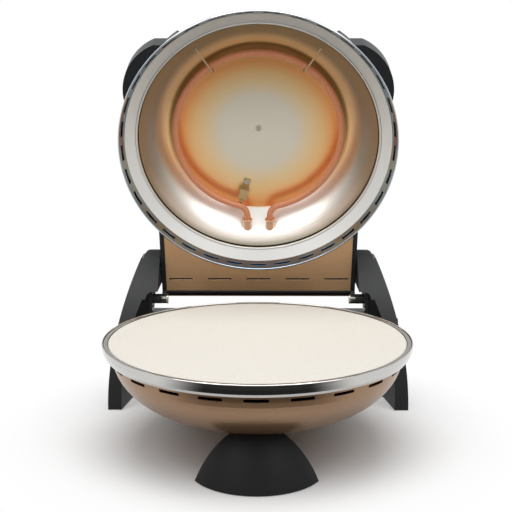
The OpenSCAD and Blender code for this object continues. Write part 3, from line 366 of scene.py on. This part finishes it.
# zinc-plated steel: a slightly milky bright metal
zincSteel = makePlain("zincPlatedSteel", colour="#BDB9AE", shade="#A9A59B", roughness=0.28, grainMm=0.8,
                      relief=0.08, metallic=1.0)
# heat-tempered steel of the clips, the posts and the strap: straw beige
temperedSteel = makePlain("temperedSteel", colour="#CDB48E", shade="#B99B72", roughness=0.34, grainMm=0.8,
                          relief=0.08, metallic=0.8)
# ferrules sealed with a glassy glaze: peach and shiny
glazedFerrule = makePlain("glazedFerruleSteel", colour="#F0C6A0", shade="#DBA87F", roughness=0.16,
                          grainMm=1.2, relief=0.05, metallic=0.35, Coat_Weight=0.7)
# powder coat on sheet brackets: dark and slightly pebbled
powderCoat = makePlain("blackPowderCoat", colour="#2B2B2C", shade="#242425", roughness=0.5, grainMm=0.6,
                       relief=0.3)
# thermoset housing of the controls: dull dark grey
housing = makePlain("darkThermoset", colour="#3A3A3B", shade="#333334", roughness=0.6, grainMm=0.5,
                    relief=0.2)
# glazed steatite of the terminal block: creamy and smooth
steatite = makePlain("glazedSteatite", colour="#DDD7C8", shade="#D3CBB8", roughness=0.25, grainMm=3.0,
                     relief=0.03, Coat_Weight=0.5)
# turned nylon: satin black
turnedNylon = makePlain("blackTurnedNylon", colour="#202021", shade="#1A1A1B", roughness=0.45,
                        grainMm=0.5, relief=0.15)
# rubber of the pads, also used for the black strips that paint the shadow inside the slits: very matt black
rubberAndSlitShadow = makePlain("rubberAndSlitShadow", colour="#1A1A1A", shade="#141414", roughness=0.85, grainMm=0.6,
                       relief=0.4)
# moulded amber lens: clear and glossy
amberLens = makePlain("amberPolycarbonate", colour="#C4401A", shade="#B43412", roughness=0.1,
                      grainMm=2.0, relief=0.02, Transmission_Weight=0.35)
# white pad-printed ink: matt and even
printInk = makePlain("whitePrintInk", colour="#E4E3DF", shade="#D9D8D3", roughness=0.6, grainMm=0.5,
                     relief=0.1)
print("materials made")

finishes = {
    "lower_shell": copperEnamel, "upper_shell": copperEnamel, "neck_cover": copperEnamel,
    "neck_panel": paintedLitPanel, "lower_rim": polishedSteel, "upper_rim": lidSteel, "lower_pan": satinSteel,
    "upper_reflector": aluminised, "baking_stone": firedStone,
    "lower_element": hotTube, "upper_element": hotTube,
    "upper_terminals": glazedFerrule, "lower_terminals": glazedFerrule, "ring_clamp": temperedSteel,
    "upper_element_clips": temperedSteel, "lower_element_posts": temperedSteel,
    "reflector_screws": zincSteel, "foot_screws": zincSteel, "bracket_screws": zincSteel,
    "cover_screws": zincSteel, "handle_screws": zincSteel, "hinge_pins": zincSteel,
    "thermostat_shaft": zincSteel, "timer_shaft": zincSteel,
    "foot_bracket": powderCoat, "bowl_saddle": powderCoat,
    "left_hinge_bracket": powderCoat, "right_hinge_bracket": powderCoat,
    "left_leg": blackPlastic, "right_leg": blackPlastic, "left_leg_cover": blackPlastic,
    "right_leg_cover": blackPlastic, "front_foot": mattShadedPlastic, "foot_base": mattShadedPlastic,
    "rear_bridge": blackPlastic, "bridge_cover": blackPlastic, "neck_bar": blackPlastic,
    "left_hinge_arm": blackPlastic, "right_hinge_arm": blackPlastic,
    "left_handle": blackPlastic, "right_handle": blackPlastic,
    "thermostat_knob": blackPlastic, "timer_knob": blackPlastic,
    "thermostat_body": housing, "timer_body": housing,
    "terminal_block": steatite, "hinge_washers": turnedNylon, "cable_gland": turnedNylon,
    "foot_pad": rubberAndSlitShadow, "leg_pads": rubberAndSlitShadow, "pilot_lamp": amberLens,
}
for nodeName, cadNode in cadNodes.items():
    cadNode.data.materials.clear()
    cadNode.data.materials.append(finishes[nodeName])
print("CAD nodes dressed")

weldDistance = 1e-6                             # points of a small piece that are this close become one


def addPiece(name, points, faces, material, matrix, body, smooth=True):
    # a mesh given in metres in the matrix's own place, which then rides on a body
    mesh = bpy.data.meshes.new(name)
    mesh.from_pydata([matrix @ Vector(point) for point in points], [], faces)
    shape = bmesh.new()
    shape.from_mesh(mesh)
    bmesh.ops.remove_doubles(shape, verts=shape.verts, dist=weldDistance)
    bmesh.ops.recalc_face_normals(shape, faces=shape.faces)
    shape.to_mesh(mesh)
    shape.free()
    mesh.materials.append(material)
    if smooth:
        mesh.shade_smooth()
    piece = bpy.data.objects.new(name, mesh)
    bpy.context.scene.collection.objects.link(piece)
    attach(piece, body)
    return piece


def gridFaces(rows, columns, wrap=False, first=0):
    # the faces between rows of points, each row closed into a ring where they wrap
    around = columns if wrap else columns - 1
    return [(first + r * columns + c, first + r * columns + (c + 1) % columns,
             first + (r + 1) * columns + (c + 1) % columns, first + (r + 1) * columns + c)
            for r in range(rows - 1) for c in range(around)]


def turnAngles(sides):
    return [2 * math.pi * i / sides for i in range(sides)]


def lathe(profile, sides=64):
    # turns a profile of (radius, height) pairs round the z axis
    points = [(r * math.cos(a), r * math.sin(a), z) for r, z in profile for a in turnAngles(sides)]
    return points, gridFaces(len(profile), sides, wrap=True)


def strip(corners, outward, deep):
    # a flat strip: four corners of its face, with its thickness behind them
    front = [Vector(corner) for corner in corners]
    back = [corner - Vector(outward) * deep for corner in front]
    faces = [(0, 1, 2, 3), (7, 6, 5, 4), (0, 4, 5, 1), (1, 5, 6, 2), (2, 6, 7, 3), (3, 7, 4, 0)]
    return front + back, faces


collar = {"inner": 0.0041, "outer": 0.0064, "depth": 0.0019, "faceY": 0.1144, "steps": 10}


def makeCollars():
    # rolled ferrules where the ring's ends go through the reflector wall
    middle, roll = (collar["inner"] + collar["outer"]) / 2, (collar["outer"] - collar["inner"]) / 2
    arc = [math.pi * i / collar["steps"] for i in range(collar["steps"] + 1)]
    profile = [(collar["inner"], collar["depth"])]
    profile += [(middle - roll * math.cos(a), roll * (1 - math.sin(a))) for a in arc]
    profile += [(collar["outer"], collar["depth"]), (collar["inner"], collar["depth"])]
    points, faces = lathe(profile)
    for name, side in (("leftFerruleCollar", -1), ("rightFerruleCollar", 1)):
        matrix = (openLid() @ Matrix.Translation((side * ring["endX"], collar["faceY"], ring["height"]))
                  @ Matrix.Rotation(math.radians(-90), 4, "X"))
        addPiece(name, points, faces, glazedFerrule, matrix, "lid")


screw = {"radius": 0.0034, "height": 0.0018, "crown": 0.0007,
         "armWidth": 0.0005, "armLength": 0.0021, "recess": 0.001,
         "shallower": 0.5,                      # the recess loses this share of its depth at an arm's end
         "seatGap": 0.0002,                     # from the disc's own height down to the head's seat
         "pinhole": 0.001,                      # the innermost ring's radius, in steps between the rings
         "rings": 16, "sides": 96}
# the strap on the ring's end: its place and turn, its screw and its thickness
clamp = {"x": -0.019, "y": 0.084, "turn": math.radians(18), "screwY": -0.0135, "thick": 0.0012}
recessTurns = {"disc": 0.5, "clamp": 0.2}       # how far each cross recess happens to be turned, in radians


def screwTop(x, y):
    # a pan head with a cross recess: the height of its top at this point
    top = screw["height"] - screw["crown"] * (math.hypot(x, y) / screw["radius"]) ** 3
    across, along = sorted((abs(x), abs(y)))
    if across < screw["armWidth"] and along < screw["armLength"]:
        top -= screw["recess"] * (1 - screw["shallower"] * along / screw["armLength"])
    return top


def makeReflectorScrews():
    # a head in the middle of the disc, and one on the strap that holds an end of the ring
    rings, sides = screw["rings"], screw["sides"]
    onStrap = (Matrix.Translation((clamp["x"], clamp["y"], -clamp["thick"]))
               @ Matrix.Rotation(clamp["turn"], 4, "Z") @ Matrix.Translation((0, clamp["screwY"], 0)))
    points, faces = [], []
    for seat, turn in ((Matrix(), recessTurns["disc"]), (onStrap, recessTurns["clamp"])):
        matrix = (Matrix.Translation((0, 0, lid["discZ"] - screw["seatGap"])) @ seat
                  @ Matrix.Rotation(turn, 4, "Z") @ Matrix.Rotation(math.pi, 4, "X"))
        first = len(points)
        for r in [screw["radius"] * (i + screw["pinhole"]) / rings for i in range(rings + 1)]:
            for a in turnAngles(sides):
                x, y = r * math.cos(a), r * math.sin(a)
                points.append(matrix @ Vector((x, y, screwTop(x, y))))
        for a in turnAngles(sides):
            points.append(matrix @ Vector((screw["radius"] * math.cos(a), screw["radius"] * math.sin(a), 0)))
        faces += gridFaces(rings + 2, sides, wrap=True, first=first)
        faces.append(tuple(range(first, first + sides)))
        faces.append(tuple(range(first + (rings + 1) * sides, first + (rings + 2) * sides)))
    piece = addPiece("reflectorScrewHeads", points, faces, zincSteel, openLid(), "lid")
    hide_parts("reflector_screws")


slit = {"count": 5, "long": 0.029, "edge": 0.004, "y": 0.175, "lipWide": 0.0007, "lipHigh": 0.0004,
        "shadowStripHigh": 0.0023, "shadowStripThick": 0.00005,
        "panelFace": 0.001,                     # the height of the face that shows when the lid is open
        "acrossPoints": 9, "alongPoints": 33,
        "squareness": 12}                       # how square the pressed lip's ends are
panelGap = 0.0003                               # from the panel's side to the neck's side


def makeSlits():
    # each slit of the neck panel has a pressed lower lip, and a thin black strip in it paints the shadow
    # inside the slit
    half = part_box("neck_panel")[1].x + panelGap
    pitch = (2 * (half - slit["edge"]) - slit["long"]) / (slit["count"] - 1)
    across, along = slit["acrossPoints"], slit["alongPoints"]
    lip = slit["y"] + slit["shadowStripHigh"] / 2 + slit["lipWide"] / 2
    for i in range(slit["count"]):
        middle = (i - (slit["count"] - 1) / 2) * pitch
        points = []
        for u in [2 * c / (along - 1) - 1 for c in range(along)]:
            end = math.sqrt(max(0.0, 1 - abs(u) ** slit["squareness"]))
            for v in [2 * c / (across - 1) - 1 for c in range(across)]:
                points.append((middle + u * slit["long"] / 2, lip + v * slit["lipWide"] / 2,
                               slit["panelFace"] - slit["lipHigh"] * math.sqrt(1 - v * v) * end))
        addPiece("slitLip" + str(i + 1), points, gridFaces(along, across), paintedLitPanel, openLid(), "lid")
        reach, side = slit["long"] / 2, slit["shadowStripHigh"] / 2
        corners = [(middle + x * reach, slit["y"] + y * side, slit["panelFace"])
                   for x, y in ((-1, -1), (1, -1), (1, 1), (-1, 1))]
        points, faces = strip(corners, (0, 0, 1), slit["shadowStripThick"])
        addPiece("slitShadowStrip" + str(i + 1), points, faces, rubberAndSlitShadow, openLid(), "lid",
                 smooth=False)


dial = {"y": 0.17125, "z": 0.068, "faceX": 0.175,
        "pointerLow": 0.0093, "pointerHigh": 0.0187, "pointerWide": 0.0012, "grooveDeep": 0.0005,
        "marks": 11, "markIn": 0.0235, "markOut": 0.0262, "endMarkOut": 0.0278, "markWide": 0.0009,
        "markProud": 0.00012, "markDeep": 0.0003,
        "leastX": 0.165}                        # a mark needs the leg's outer side, further out than this
outside = 0.3                                   # this far to a side, a ray starts clear of the cooker


def legFace(leg, side, y, z):
    # the x of the leg's outer face at this place, or 0 where the leg isn't there
    start, inward = Vector((side * outside, y, z)), Vector((-side, 0, 0))
    hit, place, normal, index = cadNodes[leg].ray_cast(start, inward)
    return place.x if hit else 0


def makeDial(side, leg, knobBody, name, turn):
    # an inlaid white pointer on the knob, and printed marks on the leg round it
    face = side * dial["faceX"]
    wide = dial["pointerWide"] / 2
    low, high = dial["pointerLow"], dial["pointerHigh"]
    corners = [(face, dial["y"] + y, dial["z"] + z)
               for y, z in ((-wide, low), (wide, low), (wide, high), (-wide, high))]
    points, faces = strip(corners, (side, 0, 0), dial["grooveDeep"])
    addPiece(name + "Pointer", points, faces, printInk, Matrix(), knobBody, smooth=False)
    points, faces = [], []
    for i in range(dial["marks"]):
        a = -math.radians(turn) * (i / (dial["marks"] - 1)) * side
        reach = dial["endMarkOut"] if i in (0, dial["marks"] - 1) else dial["markOut"]
        corners = []
        for r, w in ((dial["markIn"], -1), (dial["markIn"], 1), (reach, 1), (reach, -1)):
            y = dial["y"] + r * math.sin(a) + w * dial["markWide"] / 2 * math.cos(a)
            z = dial["z"] + r * math.cos(a) - w * dial["markWide"] / 2 * math.sin(a)
            x = legFace(leg, side, y, z)
            if abs(x) > dial["leastX"]:
                corners.append((x + side * dial["markProud"], y, z))
        if len(corners) == 4:
            markPoints, markFaces = strip(corners, (side, 0, 0), dial["markProud"] + dial["markDeep"])
            faces += [tuple(len(points) + v for v in face) for face in markFaces]
            points += markPoints
    addPiece(name + "Marks", points, faces, printInk, Matrix(), "base", smooth=False)


plug = {"y": dial["y"], "z": 0.1, "radius": 0.003, "dome": 0.0012, "deep": 0.004,
        "x": 0.1708,                            # its seat, should no face of the leg be felt
        "seatAt": 1.6,                          # the leg's face is felt this many radii above the hole
        "tip": 0.00001,                         # the radius at which its ends close
        "steps": 10, "sides": 48}


def makeLampPlug():
    # the timer's leg has no lamp, so a domed blind plug closes the hole that both legs share
    arc = [math.pi / 2 * i / plug["steps"] for i in range(plug["steps"])]
    profile = [(plug["tip"], -plug["deep"]), (plug["radius"], -plug["deep"])]
    profile += [(plug["radius"] * math.cos(a), plug["dome"] * math.sin(a)) for a in arc]
    profile += [(plug["tip"], plug["dome"])]
    points, faces = lathe(profile, plug["sides"])
    seat = legFace("left_leg", -1, plug["y"], plug["z"] + plug["seatAt"] * plug["radius"]) or -plug["x"]
    matrix = Matrix.Translation((seat, plug["y"], plug["z"])) @ Matrix.Rotation(math.radians(-90), 4, "Y")
    addPiece("lampHolePlug", points, faces, blackPlastic, matrix, "base")


makeCollars()
makeReflectorScrews()
makeSlits()
makeDial(1, "right_leg", "thermostat", "thermostatDial", turn=270)
makeDial(-1, "left_leg", "timer", "timerDial", turn=300)
makeLampPlug()
print("small pieces made")


def cameraLike(material):
    # 1 for what the camera, a mirror or a glass sees of the background, and 0 for the light on the object
    path = addNode(material, "ShaderNodeLightPath")
    both = addNode(material, "ShaderNodeMath", {"operation": "MAXIMUM"}, i0=path.outputs["Is Camera Ray"],
                   i1=path.outputs["Is Glossy Ray"])
    return addNode(material, "ShaderNodeMath", {"operation": "MAXIMUM"}, i0=both.outputs[0],
                   i1=path.outputs["Is Transmission Ray"]).outputs[0]


paper = {"colour": "#F6F6F6", "roughness": 0.9, "reach": 6.0,
         "bounce": "#8C8C8C",                   # what it gives back to the object as plain light
         "near": 0.1, "far": 0.31}              # it turns to the plain background between these reaches


def makeFloor():
    # white paper, which keeps the object's shadow and fades to the plain background
    mesh = bpy.data.meshes.new("studioFloor")
    shape = bmesh.new()
    bmesh.ops.create_grid(shape, x_segments=2, y_segments=2, size=paper["reach"])
    shape.to_mesh(mesh)
    shape.free()
    floor = bpy.data.objects.new("studioFloor", mesh)
    bpy.context.scene.collection.objects.link(floor)
    material, shader = newMaterial("whiteStudioPaper", paper["colour"], paper["roughness"],
                                   Specular_IOR_Level=0.0)
    seen = cameraLike(material)
    colour = addNode(material, "ShaderNodeMix", {"data_type": "RGBA"}, i0=seen,
                     i6=linear(paper["bounce"]), i7=linear(paper["colour"]))
    feed(material, shader.inputs["Base Color"], colour.outputs[2])
    place = addNode(material, "ShaderNodeTexCoord").outputs["Object"]
    reach = addNode(material, "ShaderNodeVectorMath", {"operation": "LENGTH"}, i0=place).outputs["Value"]
    far = addNode(material, "ShaderNodeMapRange", {"interpolation_type": "SMOOTHSTEP"}, Value=reach,
                  From_Min=paper["near"], From_Max=paper["far"])
    background = addNode(material, "ShaderNodeEmission", Strength=1.0)
    share = addNode(material, "ShaderNodeMath", {"operation": "MULTIPLY"}, i0=far.outputs[0], i1=seen)
    both = addNode(material, "ShaderNodeMixShader", i0=share.outputs[0], i1=shader.outputs[0],
                   i2=background.outputs[0])
    feed(material, material.node_tree.nodes["Material Output"].inputs[0], both.outputs[0])
    mesh.materials.append(material)


reflectionSheet = {"colour": "#050505", "near": 0.213, "far": 1.3, "height": 0.002,
         "spread": 62, "soft": 34,              # in degrees to each side, and the soft part of that
         "steps": 24}


def makeFlag():
    # a dark sector over the table in front, which only mirrors see, such as the polished band: a painted
    # dark reflection
    columns = reflectionSheet["steps"] + 1
    turns = [math.radians(reflectionSheet["spread"] * (2 * i / reflectionSheet["steps"] - 1)) for i in range(columns)]
    points = [(r * math.sin(a), hearth["axisY"] - r * math.cos(a), reflectionSheet["height"])
              for r in (reflectionSheet["near"], reflectionSheet["far"]) for a in turns]
    mesh = bpy.data.meshes.new("darkFlag")
    mesh.from_pydata(points, [], gridFaces(2, columns))
    flag = bpy.data.objects.new("darkFlag", mesh)
    bpy.context.scene.collection.objects.link(flag)
    material, shader = newMaterial("reflectionOnlyBlack", reflectionSheet["colour"], roughness=1.0)
    place = addNode(material, "ShaderNodeTexCoord").outputs["Object"]
    right, back, height = addNode(material, "ShaderNodeSeparateXYZ", i0=place).outputs
    forward = addNode(material, "ShaderNodeMath", {"operation": "SUBTRACT"}, i0=hearth["axisY"], i1=back)
    turn = addNode(material, "ShaderNodeMath", {"operation": "ARCTAN2"}, i0=right, i1=forward.outputs[0])
    side = addNode(material, "ShaderNodeMath", {"operation": "ABSOLUTE"}, i0=turn.outputs[0])
    cover = addNode(material, "ShaderNodeMapRange", {"interpolation_type": "SMOOTHSTEP"},
                    Value=side.outputs[0], From_Min=math.radians(reflectionSheet["spread"] - reflectionSheet["soft"]),
                    From_Max=math.radians(reflectionSheet["spread"]), To_Min=1.0, To_Max=0.0)
    feed(material, shader.inputs["Alpha"], cover.outputs[0])
    mesh.materials.append(material)
    flag.visible_camera = flag.visible_diffuse = flag.visible_shadow = False


lamps = {                                       # place, size and power of each soft box
    "topBox": ((0.0, -0.25, 1.7), (1.3, 0.9), 18.0),
    "leftBox": ((-1.1, -1.0, 1.5), (1.0, 1.2), 10.0),
    "rightBox": ((1.1, -1.0, 1.5), (1.0, 1.2), 10.0),
}
lampAim = Vector((0, 0, 0.2))


def makeLamps():
    for name, (place, size, power) in lamps.items():
        lampData = bpy.data.lights.new(name, "AREA")
        lampData.shape = "RECTANGLE"
        lampData.size, lampData.size_y = size
        lampData.energy = power
        lamp = bpy.data.objects.new(name, lampData)
        bpy.context.scene.collection.objects.link(lamp)
        lamp.location = place
        lamp.rotation_euler = (lampAim - Vector(place)).to_track_quat("-Z", "Y").to_euler()


roomStrength = 0.16                             # the room's light on the object


def makeWorld():
    # the background itself is white
    world = bpy.data.worlds.new("softStudio")
    world.use_nodes = True
    bpy.context.scene.world = world
    background = world.node_tree.nodes["Background"]
    background.inputs["Color"].default_value = (1, 1, 1, 1)
    strength = addNode(world, "ShaderNodeMapRange", Value=cameraLike(world), To_Min=roomStrength, To_Max=1.0)
    feed(world, background.inputs["Strength"], strength.outputs[0])


view = {"target": (0.0, -0.03975, 0.2055), "distance": 1.031, "azimuth": math.radians(0.4),
        "elevation": math.radians(10.65), "lens": 70.3125, "sensor": 36, "shiftX": -0.00273}


def makeCamera():
    cameraData = bpy.data.cameras.new("photoCamera")
    camera = bpy.data.objects.new("photoCamera", cameraData)
    bpy.context.scene.collection.objects.link(camera)
    a, e = view["azimuth"], view["elevation"]
    back = Vector((math.sin(a) * math.cos(e), -math.cos(a) * math.cos(e), math.sin(e)))
    camera.location = Vector(view["target"]) + back * view["distance"]
    camera.rotation_euler = (-back).to_track_quat("-Z", "Y").to_euler()
    cameraData.lens = view["lens"]
    cameraData.sensor_width = view["sensor"]
    cameraData.shift_x = view["shiftX"]
    bpy.context.scene.camera = camera


makeFloor()
makeFlag()
makeWorld()
makeLamps()
makeCamera()
bpy.context.scene.view_settings.view_transform = "Standard"
print("floor, light and camera made")
